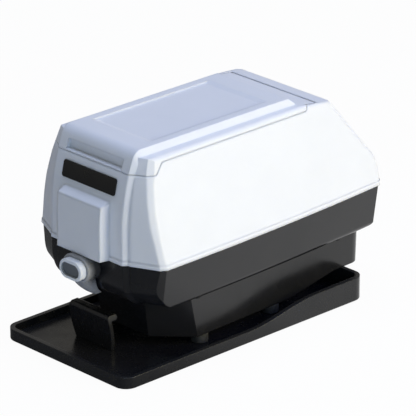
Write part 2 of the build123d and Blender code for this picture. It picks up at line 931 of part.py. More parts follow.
def pan_tool(distance, inset, turn=0.0):
    """Everything behind one front face of the pan, which leans back going down."""
    lean = pan_lean / pan_height
    outline = [
        (-distance + inset - lean * below, neck_z + below),
        (-distance + inset + lean * (pan_height + below), seat_z - below),
        (far, seat_z - below),
        (far, neck_z + below),
    ]
    return Rot(0, 0, turn) * side_polygon(outline)


def pan_underside(inset):
    """Everything over the pan's underside, which rises to pass over the tray's rear rim."""
    rear_z = tray_rim_rear + pan_rim_gap
    outline = [
        (-far, seat_z + inset),
        (pan_flat_end, seat_z + inset),
        (pan_rise_end, rear_z + inset),
        (far, rear_z + inset),
        (far, far),
        (-far, far),
    ]
    return side_polygon(outline)


def pan_form(inset=0.0):
    corners = [
        (-pan_half_front + inset, -pan_front - side_overrun),
        (pan_half_front - inset, -pan_front - side_overrun),
        (pan_half_rear - inset, pan_rear - inset),
        (-pan_half_rear + inset, pan_rear - inset),
    ]
    face = make_face(Polyline(corners, close=True))
    rear = [v for v in face.vertices() if v.Y > 0]
    face = fillet(rear, pan_rear_corner)
    body = Pos(0, 0, seat_z + inset) * extrude(face, amount=pan_height + below, taper=-pan_draft)
    body &= pan_tool(pan_front, inset)
    facet = pan_facet_half * sin(radians(45)) + pan_front * cos(radians(45))
    for turn in (45, -45):
        body &= pan_tool(facet, inset, turn)
    return body


def make_base_pan():
    outer = pan_form() & machine_cut(seat_z, neck_z - pan_neck)
    bottom = [e for e in outer.edges() if abs(e.center().Z - seat_z) < 0.01]
    outer = fillet(bottom, pan_edge_round) & pan_underside(0)
    outer += pan_form(pan_neck_inset) & machine_cut(neck_z - pan_neck - 1, neck_z)
    cavity = pan_form(pan_wall) & pan_underside(pan_wall)
    body = outer - cavity
    for x, y in pan_screws():
        body += upright(post_radius + 1, x, y, seat_z, neck_z) & pan_form(pan_wall / 2) & pan_underside(0)
        body -= upright(pan_screw, x, y, seat_z - 1, neck_z + 1)
        body -= upright(pan_screw * screw_head_ratio, x, y, seat_z - 1, seat_z + pan_screw_sink)
    for x, y in foot_places():
        body += upright(foot_screw_radius + 2, x, y, seat_z + 1, seat_z + foot_screw_grip)
        body -= upright(foot_screw_radius, x, y, seat_z - 1, seat_z + foot_screw_grip - 1)
    for index in range(pan_vent_count):
        y = pan_vent_y + (index - (pan_vent_count - 1) / 2) * pan_vent_pitch
        slot = SlotOverall(pan_vent_length, pan_vent_width)
        body -= Pos(0, y, seat_z - 1) * extrude(slot, amount=pan_wall + 2)
    return body


def make_rubber_feet():
    feet = []
    for x, y in foot_places():
        foot = upright(foot_radius, x, y, tray_floor, seat_z)
        bottom = [e for e in foot.edges() if abs(e.center().Z - tray_floor) < 0.01]
        foot = fillet(bottom, foot_edge_round)
        foot -= upright(foot_screw_radius, x, y, tray_floor - 1, seat_z + 1)
        head_radius = foot_screw_radius * screw_head_ratio
        foot -= upright(head_radius, x, y, tray_floor - 1, tray_floor + foot_height / 2)
        feet.append(foot)
    return Compound(children=[f.solids()[0] for f in feet])


def vertical_screw(x, y, head_z, tip_z, radius):
    """Screw whose head sits at head_z on the side away from its tip."""
    up = 1 if tip_z > head_z else -1
    shank = upright(radius, x, y, min(head_z, tip_z), max(head_z, tip_z))
    low, high = sorted((head_z, head_z - up * screw_head_height))
    head = upright(radius * screw_head_ratio, x, y, low, high)
    return (shank + head).solids()[0]


def make_foot_screws():
    head_z = tray_floor + foot_height / 2
    tip = seat_z + foot_screw_grip - 1.5
    screws = [vertical_screw(x, y, head_z, tip, foot_screw_radius) for x, y in foot_places()]
    return Compound(children=screws)


def make_pan_screws():
    tip = neck_z + shell_wall + 5.5
    head = seat_z + pan_screw_sink
    return Compound(children=[vertical_screw(x, y, head, tip, pan_screw) for x, y in pan_screws()])


def make_hood_screws():
    tip = seam_z + column_height - 3
    head = neck_z + screw_head_height
    return Compound(children=[vertical_screw(x, y, head, tip, column_screw) for x, y in hood_columns()])


# ---------------------------------------------------------------- tray and drip shield
def tray_outline(inset):
    size = (tray_width - 2 * inset, tray_front + tray_rear - 2 * inset)
    corner = max(tray_corner - inset, least_round)
    return Pos(0, (tray_rear - tray_front) / 2) * RectangleRounded(*size, corner)


def tray_rim(drop=0.0):
    """Everything under the rim line: low at the front, sweeping up in an S to the rear."""
    low, high = tray_rim_front - drop, tray_rim_rear - drop
    start, end = (tray_sweep_start, low), (tray_sweep_end, high)
    sweep = Spline([start, end], tangents=[(1, 0), (1, 0)])
    edges = [
        Line((-far, low), start),
        sweep,
        Line(end, (far, high)),
        Line((far, high), (far, -far)),
        Line((far, -far), (-far, -far)),
        Line((-far, -far), (-far, low)),
    ]
    return side_prism(edges)


def make_tray():
    blank = extrude(tray_outline(0), amount=tray_rim_rear + 5)
    bottom = [e for e in blank.edges() if abs(e.center().Z) < 0.01]
    blank = fillet(bottom, tray_edge_round)
    blank -= Pos(0, 0, tray_floor) * extrude(tray_outline(tray_wall), amount=tray_rim_rear + 5)
    body = blank & tray_rim()
    tabs = shield_tabs(tray_floor - shield_slot_depth, tray_floor + 1)
    return body - tabs


def shield_tabs(z_from, z_to):
    """The two feet under the drip shield that plug into the tray's floor."""
    tabs = []
    y = shield_y + shield_lean
    for side in (1, -1):
        x = shield_x + side * (shield_width / 4)
        tabs.append(box(
            (x - shield_tab_width / 2, x + shield_tab_width / 2),
            (y - shield_tab_thick / 2, y + shield_tab_thick / 2),
            (z_from, z_to),
        ))
    return tabs[0] + tabs[1]


def make_drip_shield():
    """Plate under the spout, leaning forwards: bulging sides and a top edge rolled to the rear."""
    half = shield_width / 2
    top = tray_floor + shield_height
    front, back = shield_y - shield_thick / 2, shield_y + shield_thick / 2
    roll = shield_lip / 2
    under = top - roll - shield_thick / 2
    rim = back + shield_lip
    edges = [
        Line((front + shield_lean, tray_floor), (front, top - roll)),
        ThreePointArc((front, top - roll), (front + roll * 0.3, top - roll * 0.3), (front + roll, top)),
        Line((front + roll, top), (rim - roll, top)),
        ThreePointArc((rim - roll, top), (rim, (top + under) / 2), (rim - roll, under)),
        Line((rim - roll, under), (back, under)),
        Line((back, under), (back + shield_lean, tray_floor)),
        Line((back + shield_lean, tray_floor), (front + shield_lean, tray_floor)),
    ]
    body = side_prism(edges)
    foot, corner = half - shield_waist, half - shield_waist / 3
    sides = [
        Line((-foot, 0), (foot, 0)),
        ThreePointArc((foot, 0), (half, top * 0.6), (corner, top + 1)),
        Line((corner, top + 1), (-corner, top + 1)),
        ThreePointArc((-corner, top + 1), (-half, top * 0.6), (-foot, 0)),
    ]
    face = make_face(Wire(sides))
    window = Plane(origin=(shield_x, far / 2, 0), x_dir=(1, 0, 0), z_dir=(0, -1, 0)) * face
    body &= extrude(window, amount=far)
    return body + shield_tabs(tray_floor - shield_slot_depth, tray_floor + 1)


# ---------------------------------------------------------------- spout, gasket and button
def front_slab(outline, y_from, y_to):
    """Extrusion along Y of an outline drawn in X and Z about the button's axis."""
    plane = Plane(origin=(0, max(y_from, y_to), axis_z), x_dir=(1, 0, 0), z_dir=(0, -1, 0))
    return extrude(plane * outline, amount=abs(y_to - y_from))


def stadium(grow):
    return SlotOverall(button_width + 2 * grow, button_height + 2 * grow)


def level_slot(width, depth, y, z):
    """Rounded outline lying level, used as a section of the spout's beak."""
    size = min(width, depth)
    return Pos(0, y, z) * RectangleRounded(width, depth, size * 0.42)


def spout_bend_z():
    """Height at which the beak leaves the barrel."""
    return axis_z - button_height / 2 - spout_wall - 2.0


def spout_sections(shrink):
    """Level sections of the beak, from its root in the barrel down to the tip."""
    root_y = -spout_front() + spout_reach * 0.55
    root_z = axis_z - button_height * 0.1
    bend_z = spout_bend_z()
    tip_y, tip_z = -spine_front + spout_tip_back, axis_z - spout_tip_drop
    web_y = root_y + (spout_web_depth - spout_root_depth) * 0.8
    return [
        level_slot(button_width - 2 * shrink, spout_root_depth - 2 * shrink, root_y, root_z),
        level_slot(spout_tip_width * 2.1 - 2 * shrink, spout_web_depth - 2 * shrink, web_y, bend_z),
        level_slot(
            spout_tip_width * 1.6 - 2 * shrink,
            spout_web_depth - 0.6 - 2 * shrink,
            (web_y + tip_y) / 2 - 0.6,
            (bend_z + tip_z) / 2,
        ),
        level_slot(spout_tip_width - 2 * shrink, spout_tip_depth - 2 * shrink, tip_y, tip_z),
    ]


def spout_front():
    return spine_front + spout_reach


def make_spout():
    front, back = -spout_front(), -spine_front + seam_step
    grow = button_gap + spout_wall
    barrel = front_slab(stadium(grow), front, back + housing_front_arc)
    rim = [e for e in barrel.edges() if abs(e.center().Y - front) < 0.01]
    barrel = fillet(rim, spout_wall * 0.5)
    beak = loft(spout_sections(0))
    body = barrel + beak
    body -= lower_form(-gasket_thick)
    groove_floor = front + button_skirt + button_travel + button_gap
    ring = front_slab(stadium(button_gap), front - 1, groove_floor)
    body -= ring - front_slab(stadium(-button_wall - button_gap), front - 2, groove_floor)
    body -= front_slab(stadium(button_gap), front - 1, front + spout_recess)
    body -= rod(spring_radius + spring_wire, front - 1, front + spring_pocket)
    body -= rod(stem_radius + running_gap, front - 1, far)
    body -= rod(tail_radius + free_gap, front - 1, far, x=tail_x)
    body -= rod(nipple_radius, back - gasket_thick - nipple_seat, far)
    throat = loft(spout_sections(spout_tip_wall)[1:]) - lower_form(-gasket_thick - spout_tip_wall)
    inlet_y = back - gasket_thick - nipple_seat
    half = spout_throat_width / 2
    inlet_limits = (inlet_y - spout_throat_depth + 0.6, inlet_y + 0.6)
    inlet = box((-half, half), inlet_limits, (spout_bend_z() - 0.3, axis_z + 2))
    return body - throat - inlet


def make_spout_gasket():
    front, back = -spine_front + seam_step - gasket_thick, -spine_front + seam_step
    grow = button_gap + spout_wall
    slab = front_slab(stadium(grow), front - 2, back + housing_front_arc)
    ring = slab & lower_form(-gasket_thick)
    ring -= lower_form()
    ring -= rod(nipple_radius, -far, 0)
    ring -= rod(tail_radius + free_gap, -far, 0, x=tail_x)
    return ring


def button_face_y():
    return -spout_front() - button_proud


def make_dispense_button():
    face = button_face_y()
    rear = -spout_front() + button_skirt
    body = front_slab(stadium(0), face, rear)
    rim = [e for e in body.edges() if abs(e.center().Y - face) < 0.01]
    body = fillet(rim, button_wall * 0.5)
    body -= front_slab(stadium(-button_wall), face + button_web, rear + 1)
    dish = front_slab(stadium(-button_rim), face - 1, face + button_dish)
    body -= dish
    body += rod(stem_radius + 1.2, face + button_web - 0.5, face + button_web + 2.0)
    body -= rod(stem_radius, face + button_web, rear + 5)
    body += rod(tail_radius, face + button_web - 0.5, face + tail_length, x=tail_x)
    return body


def make_button_spring():
    """Coil spring round the valve stem, between the button and the spout's inner boss."""
    start = button_face_y() + button_web + spring_wire
    end = -spout_front() + spring_pocket - spring_wire
    pitch = (end - start) / spring_turns
    coil = Helix(pitch, end - start, spring_radius)
    section = Plane(origin=coil @ 0, z_dir=coil % 0) * Circle(spring_wire / 2 * 1.0)
    spring = sweep(section, path=coil, is_frenet=True)
    return Pos(0, start, axis_z) * Rot(-90, 0, 0) * spring


# ---------------------------------------------------------------- mixing chamber, valve and heater
def chamber_back_y():
    return chamber_front_y + chamber_length


def make_valve_stem():
    rear = chamber_front_y + chamber_wall + stem_seal_thick + 1.0
    return rod(stem_radius, button_face_y() + button_web, rear)


def make_valve_seal():
    seat = chamber_front_y + chamber_wall
    return rod(stem_seal_radius, seat, seat + stem_seal_thick) - rod(stem_radius, seat - 1, seat + 9)


def make_mixing_chamber():
    back = chamber_back_y()
    body = rod(chamber_radius, chamber_front_y, back)
    body += rod(nipple_radius, nipple_end_y(), chamber_front_y + 1)
    body -= rod(chamber_radius - chamber_wall, chamber_front_y + chamber_wall, back + 1)
    body -= rod(nipple_bore, nipple_end_y() - 1, chamber_front_y + chamber_wall + 1)
    body -= upright(outlet_radius, 0, outlet_y, axis_z + chamber_radius - chamber_wall - 1, deck_z)
    return body


def nipple_end_y():
    return -spine_front + seam_step - gasket_thick - nipple_seat


def make_chamber_cap():
    back = chamber_back_y()
    spigot = chamber_radius - chamber_wall - running_gap
    body = rod(chamber_radius, back, back + chamber_cap_thick)
    body += rod(spigot, back - chamber_cap_rim * 2, back + 1)
    body -= rod(spigot - chamber_cap_rim, back - chamber_cap_rim * 2 - 1, back)
    body += rod(hub_radius, back + chamber_cap_thick - 1, bracket_y())
    body -= rod(hub_radius - hub_wall, back + chamber_cap_thick, bracket_y() + 1)
    groove = back - chamber_cap_rim
    half = o_ring_section / 2
    body -= tube(spigot + 1, spigot - o_ring_section, groove - half, groove + half)
    body -= rod(seal_radius, back, back + seal_thick)
    body -= rod(shaft_radius + free_gap, back - 9, back + 9)
    return body


def make_chamber_o_ring():
    spigot = chamber_radius - chamber_wall - running_gap
    groove = chamber_back_y() - chamber_cap_rim
    ring = Torus(spigot - o_ring_section / 2, o_ring_section / 2)
    return Pos(0, groove, axis_z) * Rot(90, 0, 0) * ring


def make_shaft_seal():
    back = chamber_back_y()
    return tube(seal_radius, shaft_radius + running_gap, back, back + seal_thick)


def make_heater_band():
    start = chamber_front_y + heater_offset
    band = tube(chamber_radius + heater_thick, chamber_radius, start, start + heater_length)
    lug_z = axis_z - chamber_radius - heater_thick
    gap = box((-2, 2), (start - 1, start + heater_length + 1), (lug_z - 9, axis_z - chamber_radius / 2))
    return band - gap


def make_thermostat():
    """Bimetal thermostat on the side of the heater band."""
    y = chamber_front_y + heater_offset + heater_length / 2
    x = chamber_radius + heater_thick
    end = x + thermostat_height
    can = cross_rod(thermostat_radius, x - 2, end, y, axis_z)
    can += cross_rod(thermostat_radius * 0.6, end - 1, end + 1.5, y, axis_z)
    return can - rod(chamber_radius + heater_thick, chamber_front_y, chamber_back_y())


# ---------------------------------------------------------------- rotor
def coupling_start_y():
    return chamber_back_y() + chamber_cap_thick + 0.6


def shaft_meet_y():
    return coupling_start_y() + coupling_length / 2


def make_whipper():
    """Whipping impeller: a hub on the shaft with straight blades round it and a back disc."""
    rear = chamber_back_y() - chamber_cap_rim * 2 - 2.0
    front = rear - whipper_length
    body = rod(whipper_hub, front, rear) + rod(whipper_radius, rear - 2, rear)
    for index in range(whipper_blades):
        half = blade_thick / 2
        blade = box((whipper_hub - 1, whipper_radius), (front, rear - 1), (-half, half))
        body += Pos(0, 0, axis_z) * Rot(0, index * 360 / whipper_blades, 0) * blade
    return body + rod(shaft_radius, front + 1, shaft_meet_y())


def make_shaft_coupling():
    start = coupling_start_y()
    body = rod(coupling_radius, start, start + coupling_length)
    body -= rod(shaft_radius, start - 1, shaft_meet_y())
    return body - rod(motor_shaft, shaft_meet_y(), start + coupling_length + 1)


def bracket_y():
    """Front face of the motor bracket."""
    return coupling_start_y() + coupling_length + 3.4


def motor_front_y():
    return bracket_y() + bracket_thick


def make_motor_rotor():
    front, back = motor_front_y() + 8.0, motor_front_y() + motor_length - 8.0
    body = rod(motor_shaft, shaft_meet_y(), motor_front_y() + motor_length + 1.0)
    core = rod(motor_rotor_radius, front, back)
    for index in range(motor_slots):
        slot = box((motor_rotor_radius * 0.55, motor_rotor_radius + 1), (front - 1, back + 1), (-0.8, 0.8))
        core -= Pos(0, 0, axis_z) * Rot(0, index * 360 / motor_slots, 0) * slot
    commutator = rod(motor_rotor_radius * 0.4, back - 1, back + 5)
    return body + core + commutator


# ---------------------------------------------------------------- motor and bracket
def make_motor_can():
    front = motor_front_y()
    body = rod(motor_radius, front, front + motor_length)
    body -= rod(motor_radius - motor_wall, front + motor_wall, front + motor_length + 1)
    body += rod(bearing_radius + 1.2, front, front + bearing_length)
    body -= rod(bearing_radius, front, front + bearing_length)
    body -= rod(bearing_radius, front - 1, front + 1)
    for side in (1, -1):
        body -= rod(bracket_screw_radius, front - 1, front + motor_wall + 1, x=side * motor_screw_offset)
    return body


def make_motor_end_cap():
    start = motor_front_y() + motor_length
    body = rod(motor_radius, start, start + motor_cap_thick)
    body += rod(bearing_radius + 1.2, start - bearing_length + 1, start + 1)
    body -= rod(bearing_radius, start - bearing_length, start + 1)
    return body - rod(motor_shaft + free_gap, start, start + 2)


def make_motor_bearings():
    front, rear = motor_front_y(), motor_front_y() + motor_length + 1
    first = tube(bearing_radius, motor_shaft + running_gap, front, front + bearing_length)
    second = tube(bearing_radius, motor_shaft + running_gap, rear - bearing_length, rear)
    return Compound(children=[first.solids()[0], second.solids()[0]])


def make_motor_magnets():
    front = motor_front_y()
    ring = tube(motor_radius - motor_wall, motor_rotor_radius + 0.8, front + 8, front + motor_length - 8)
    half = box((-far, far), (-far, far), (axis_z - 9, axis_z + 9))
    magnets = ring & half
    return Compound(children=list(magnets.solids()))


def make_motor_bracket():
    floor = neck_z + shell_wall
    front = bracket_y()
    top = axis_z + motor_radius
    across = (-bracket_half, bracket_half)
    body = box(across, (front, front + bracket_thick), (floor, top))
    body += box(across, (front, front + bracket_foot), (floor, floor + bracket_thick))
    body -= rod(bearing_radius + 1.4, front - 1, front + bracket_thick + 1)
    for side in (1, -1):
        body -= rod(bracket_screw_radius, front - 1, front + bracket_thick + 1, x=side * motor_screw_offset)
        screw_x = side * bracket_screw_x
        body -= upright(bracket_screw_radius, screw_x, bracket_screw_y(), floor - 1, floor + 9)
    return body


def bracket_screw_y():
    return bracket_y() + bracket_foot - 4.0


def make_motor_screws():
    screws = []
    for side in (1, -1):
        x = side * motor_screw_offset
        shank = rod(bracket_screw_radius, bracket_y(), motor_front_y() + motor_wall, x=x)
        head = rod(bracket_screw_radius * 1.6, bracket_y() - screw_head_height, bracket_y(), x=x)
        screws.append((shank + head).solids()[0])
    return Compound(children=screws)


def make_bracket_screws():
    floor = neck_z + shell_wall
    head = floor + bracket_thick
    tip = floor - shell_wall + 0.5
    y = bracket_screw_y()
    return Compound(children=[
        vertical_screw(side * bracket_screw_x, y, head, tip, bracket_screw_radius) for side in (1, -1)
    ])


# ---------------------------------------------------------------- deck, tank and inlet
def make_deck():
    body = box((-deck_half, deck_half), (deck_front_y, deck_rear_y), (deck_z, deck_z + deck_thick))
    corners = body.edges().filter_by(Axis.Z)
    body = fillet(corners, 6.0)
    body -= upright(outlet_radius, 0, outlet_y, deck_z - 1, deck_z + 9)
    for side in (1, -1):
        for y in (deck_post_front, deck_post_rear):
            body -= upright(deck_screw, side * deck_post_x, y, deck_z - 1, deck_z + 9)
    return body


def make_deck_screws():
    top = deck_z + deck_thick
    return Compound(children=[
        vertical_screw(side * deck_post_x, y, top, deck_z - 9, deck_screw)
        for side in (1, -1) for y in (deck_post_front, deck_post_rear)
    ])


def tank_block(inset, z_from, z_to):
    length = tank_rear_y - tank_front_y - 2 * inset
    outline = RectangleRounded(2 * tank_half - 2 * inset, length, max(tank_corner - inset, least_round))
    return Pos(0, (tank_rear_y + tank_front_y) / 2, z_from) * extrude(outline, amount=z_to - z_from)


def make_tank():
    floor = deck_z + deck_thick
    body = tank_block(0, floor, tank_top) + tank_block(-tank_flange, tank_top - tank_wall, tank_top)
    body -= tank_block(tank_wall, floor + tank_wall, tank_top + 1)
    return body - upright(outlet_radius, 0, outlet_y, floor - 1, floor + 9)


def make_inlet_fitting():
    """Pipe from the tank's floor into the top of the mixing chamber, with a flange in the tank."""
    top = deck_z + deck_thick + tank_wall
    low = axis_z + chamber_radius - chamber_wall
    body = upright(outlet_radius, 0, outlet_y, low + 0.4, top + 1)
    seat = top + tank_gasket_thick
    body += upright(outlet_radius * 1.8, 0, outlet_y, seat, seat + 1.6)
    body += upright(outlet_radius, 0, outlet_y, top, seat + 1)
    return body - upright(outlet_bore, 0, outlet_y, low - 1, top + 9)


def make_tank_gasket():
    top = deck_z + deck_thick + tank_wall
    ring = upright(outlet_radius * 1.8, 0, outlet_y, top, top + tank_gasket_thick)
    return ring - upright(outlet_radius, 0, outlet_y, top - 1, top + 9)


# ---------------------------------------------------------------- switches, gland and terminal block
def rear_wall_y():
    return hood_rear - seam_step


def make_switch_bezel():
    z, wall_y = switch_z, rear_wall_y()
    half_x, half_z = switch_width / 2, switch_height / 2
    x_limits = (switch_x - half_x, switch_x + half_x)
    body = box(x_limits, (wall_y - switch_depth, wall_y + 0.5), (z - half_z, z + half_z))
    border = bezel_border
    flange = box(
        (x_limits[0] - border, x_limits[1] + border),
        (wall_y, wall_y + bezel_thick),
        (z - half_z - border, z + half_z + border),
    )
    body += fillet(flange.edges().filter_by(Axis.Y), 1.5)
    inner_x, inner_z = half_x - bezel_wall, half_z - bezel_wall
    back = wall_y - switch_depth + 2
    body -= box((switch_x - inner_x, switch_x + inner_x), (back, far), (z - inner_z, z + inner_z))
    return body - cross_rod(rocker_pin, x_limits[0] - 1, x_limits[1] + 1, rocker_y(), z)


def rocker_y():
    return rear_wall_y() - 1.6


def make_rocker():
    """Switch paddle with two faces in a shallow V, resting with its upper end pressed in."""
    half_x = switch_width / 2 - bezel_wall - free_gap
    half_z = switch_height / 2 - bezel_wall - free_gap - 0.3
    rise = half_z * sin(radians(rocker_throw / 2))
    outline = [
        (-3.0, -half_z * 0.72),
        (bezel_thick + 1.9 + rise * 0.6, -half_z),
        (bezel_thick + 1.9 - rise * 0.5, 0),
        (bezel_thick + 1.9 + rise * 0.6, half_z),
        (-3.0, half_z * 0.72),
    ]
    paddle = side_polygon(outline, half_x)
    paddle = Pos(switch_x, rocker_y(), switch_z) * Rot(rocker_throw / 2, 0, 0) * paddle
    return paddle - cross_rod(rocker_pin + running_gap, -far, far, rocker_y(), switch_z)


def make_switch_pin():
    half = switch_width / 2
    return cross_rod(rocker_pin, switch_x - half, switch_x + half, rocker_y(), switch_z)


def make_cord_gland():
    wall_y = rear_wall_y()
    body = rod(gland_radius, wall_y - gland_length, wall_y + 0.5, x=gland_x, z=gland_z)
    body += rod(gland_radius + 2.0, wall_y, wall_y + gland_flange, x=gland_x, z=gland_z)
    body += rod(gland_radius + 1.2, wall_y - gland_length, wall_y - shell_wall - 1.0, x=gland_x, z=gland_z)
    return body - rod(gland_bore, wall_y - gland_length - 1, far, x=gland_x, z=gland_z)


def make_terminal_block():
    floor = neck_z + shell_wall
    top = floor + block_height
    body = box((block_x, block_x + block_width), (block_y, block_y + block_length), (floor, top))
    for index in range(block_ways):
        x = block_x + (index + 0.5) * block_width / block_ways
        body -= upright(1.8, x, block_y + block_length / 2, top - 4, top + 1)
    return body


def make_micro_switch():
    """Snap switch on the chamber's front, its plunger over the button's tail."""
    low = axis_z + tail_radius + plunger_drop + 0.4
    left = tail_x - plunger_radius - 1.5
    front = chamber_front_y - micro_depth
    body = box((left, left + micro_width), (front, chamber_front_y), (low, low + micro_height))
    return body + upright(plunger_radius, tail_x, front + micro_depth / 2, low - plunger_drop, low + 1)


MAKERS = {
    "tray": make_tray,
    "drip_shield": make_drip_shield,
    "base_pan": make_base_pan,
    "rubber_feet": make_rubber_feet,
    "foot_screws": make_foot_screws,
    "pan_screws": make_pan_screws,
    "lower_housing": make_lower_housing,
    "hood": make_hood,
    "hood_screws": make_hood_screws,
    "name_plate": make_name_plate,
    "lid": make_lid,
    "hinge_pins": make_hinge_pins,
    "spout": make_spout,
    "spout_gasket": make_spout_gasket,
    "dispense_button": make_dispense_button,
    "button_spring": make_button_spring,
    "valve_stem": make_valve_stem,
    "valve_seal": make_valve_seal,
    "mixing_chamber": make_mixing_chamber,
    "chamber_cap": make_chamber_cap,
    "chamber_o_ring": make_chamber_o_ring,
    "shaft_seal": make_shaft_seal,
    "heater_band": make_heater_band,
    "thermostat": make_thermostat,
    "whipper": make_whipper,
    "shaft_coupling": make_shaft_coupling,
    "motor_rotor": make_motor_rotor,
    "motor_can": make_motor_can,
    "motor_end_cap": make_motor_end_cap,
    "motor_bearings": make_motor_bearings,
    "motor_magnets": make_motor_magnets,
    "motor_bracket": make_motor_bracket,
    "motor_screws": make_motor_screws,
    "bracket_screws": make_bracket_screws,
    "deck_plate": make_deck,
    "deck_screws": make_deck_screws,
    "tank": make_tank,
    "inlet_fitting": make_inlet_fitting,
    "tank_gasket": make_tank_gasket,
    "micro_switch": make_micro_switch,
    "switch_bezel": make_switch_bezel,
    "power_rocker": make_rocker,
    "switch_pin": make_switch_pin,
    "cord_gland": make_cord_gland,
    "terminal_block": make_terminal_block,
}


os.makedirs("parts", exist_ok=True)
for node_name, maker in MAKERS.items():
    keep(node_name, maker())
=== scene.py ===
"""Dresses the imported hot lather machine: materials, softened edges, floor, lamps and camera.

Metres, in the frame of the CAD: +Z up, -Y to the front.
"""
from math import cos, radians, sin

import bpy
from mathutils import Matrix, Vector

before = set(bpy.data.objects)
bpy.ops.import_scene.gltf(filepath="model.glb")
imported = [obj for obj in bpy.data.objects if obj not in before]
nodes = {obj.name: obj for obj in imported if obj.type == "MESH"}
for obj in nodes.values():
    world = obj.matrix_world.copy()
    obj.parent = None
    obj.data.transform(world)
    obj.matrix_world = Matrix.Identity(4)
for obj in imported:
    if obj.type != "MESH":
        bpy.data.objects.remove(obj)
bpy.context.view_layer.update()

# ---------------------------------------------------------------- camera
IMAGE_SIZE = 416
FOCAL_PX = 3874.0
SENSOR = 36.0
CAMERA_AZIMUTH = radians(46.4)
CAMERA_ELEVATION = radians(22.3)
CAMERA_PLACE = (1.6653, -1.5654, 1.0140)
CAMERA_CLIP = (0.1, 50.0)


def make_camera():
    data = bpy.data.cameras.new("camera")
    data.sensor_width = SENSOR
    data.lens = FOCAL_PX / IMAGE_SIZE * SENSOR
    data.clip_start, data.clip_end = CAMERA_CLIP
    camera = bpy.data.objects.new("camera", data)
    bpy.context.scene.collection.objects.link(camera)
    right = Vector((cos(CAMERA_AZIMUTH), sin(CAMERA_AZIMUTH), 0))
    forward = Vector((
        -sin(CAMERA_AZIMUTH) * cos(CAMERA_ELEVATION),
        cos(CAMERA_AZIMUTH) * cos(CAMERA_ELEVATION),
        -sin(CAMERA_ELEVATION),
    ))
    up = right.cross(forward)
    turn = Matrix((right, up, -forward)).transposed().to_4x4()
    camera.matrix_world = Matrix.Translation(CAMERA_PLACE) @ turn
    bpy.context.scene.camera = camera


# ---------------------------------------------------------------- node helpers
# Places of the colour sockets on a Mix node.
MIX_FIRST, MIX_SECOND, MIX_RESULT = 6, 7, 2


class Nodes:
    """A material's node tree, with short calls to add and join nodes."""

    def __init__(self, name):
        self.material = bpy.data.materials.new(name)
        self.material.use_nodes = True
        self.tree = self.material.node_tree
        self.shader = self.tree.nodes["Principled BSDF"]

    def add(self, kind, **values):
        node = self.tree.nodes.new("ShaderNode" + kind)
        for key, value in values.items():
            setattr(node, key, value)
        return node

    def join(self, source, target):
        self.tree.links.new(source, target)

    def set(self, socket, value):
        """Sets the shader's own socket to a value that is the same all over."""
        self.shader.inputs[socket].default_value = value

    def place(self):
        """The rest-pose place of a surface point, in metres."""
        return self.add("TexCoord").outputs["Object"]

    def axes(self):
        """The X, Y and Z of that place as separate outputs."""
        node = self.add("SeparateXYZ")
        self.join(self.place(), node.inputs[0])
        return node.outputs

    def math(self, operation, first, second=None):
        """A Math node; the second value is an output or a number."""
        node = self.add("Math", operation=operation)
        self.join(first, node.inputs[0])
        if hasattr(second, "is_linked"):
            self.join(second, node.inputs[1])
        elif second is not None:
            node.inputs[1].default_value = second
        return node.outputs[0]

    def noise(self, scale, detail=3.0, roughness=0.5, stretch=None):
        texture = self.add("TexNoise")
        texture.inputs["Scale"].default_value = scale
        texture.inputs["Detail"].default_value = detail
        texture.inputs["Roughness"].default_value = roughness
        place = self.place()
        if stretch:
            mapping = self.add("Mapping")
            mapping.inputs["Scale"].default_value = stretch
            self.join(place, mapping.inputs["Vector"])
            place = mapping.outputs["Vector"]
        self.join(place, texture.inputs["Vector"])
        return texture.outputs["Fac"]

    def ramp(self, value, low, high, start=0.35, end=0.65):
        """Maps a value between start and end to a number between low and high."""
        node = self.add("MapRange")
        node.inputs["From Min"].default_value = start
        node.inputs["From Max"].default_value = end
        node.inputs["To Min"].default_value = low
        node.inputs["To Max"].default_value = high
        self.join(value, node.inputs["Value"])
        return node.outputs["Result"]

    def mix(self, value, first, second):
        node = self.add("Mix", data_type="RGBA")
        self.join(value, node.inputs["Factor"])
        for place, colour in ((MIX_FIRST, first), (MIX_SECOND, second)):
            if hasattr(colour, "is_linked"):
                self.join(colour, node.inputs[place])
            else:
                node.inputs[place].default_value = (*colour, 1.0)
        return node.outputs[MIX_RESULT]

    def bump(self, height, strength, distance, normal=None):
        """Bump on top of a normal from another node, if one is given."""
        node = self.add("Bump")
        node.inputs["Strength"].default_value = strength
        node.inputs["Distance"].default_value = distance
        self.join(height, node.inputs["Height"])
        if normal is not None:
            self.join(normal, node.inputs["Normal"])
        return node.outputs["Normal"]


# ---------------------------------------------------------------- materials
# Noise scales are waves per metre, depths are metres.
CLOUD_SCALE = 35.0
CLOUD_RANGE = (0.3, 0.7)
PATCH_SCALE = 90.0
RIPPLE_SCALE = 40.0
RIPPLE_DEPTH = 0.0006
GRAIN_SCALE = 2500.0
GRAIN_DEPTH = 0.0001
EDGE_SAMPLES = 6
LINE_SCALE = 700.0
LINE_STRETCH = (1.0, 30.0, 1.0)
LINE_DARKEN = 0.72
LINE_DEPTH = 0.00005
LINE_ROUGH_SPREAD = 0.3
WORN_SCALE = 300.0
WORN_ROUGH = (0.62, 0.82)
RUBBER_GRAIN_SCALE = 4000.0
RUBBER_GRAIN = 0.25
RUBBER_SPECULAR = 0.35

# The dispense button's dish: half the straight part of its stadium outline, the radius of the
# outline's ends, the height of its middle, and how far inside and outside the edge is blurred.
DISH_STRAIGHT = 0.00375
DISH_RADIUS = 0.0043
DISH_BLUR = (0.0002, 0.0004)
BUTTON_Z = 0.0625
# Y over which painted shade darkens the spout's barrel where it runs in under the boss, and Z over which
# its beak ends.
BARREL_PAINTED_SHADE = (-0.0932, -0.0875)
BEAK_TOP = (0.050, 0.057)


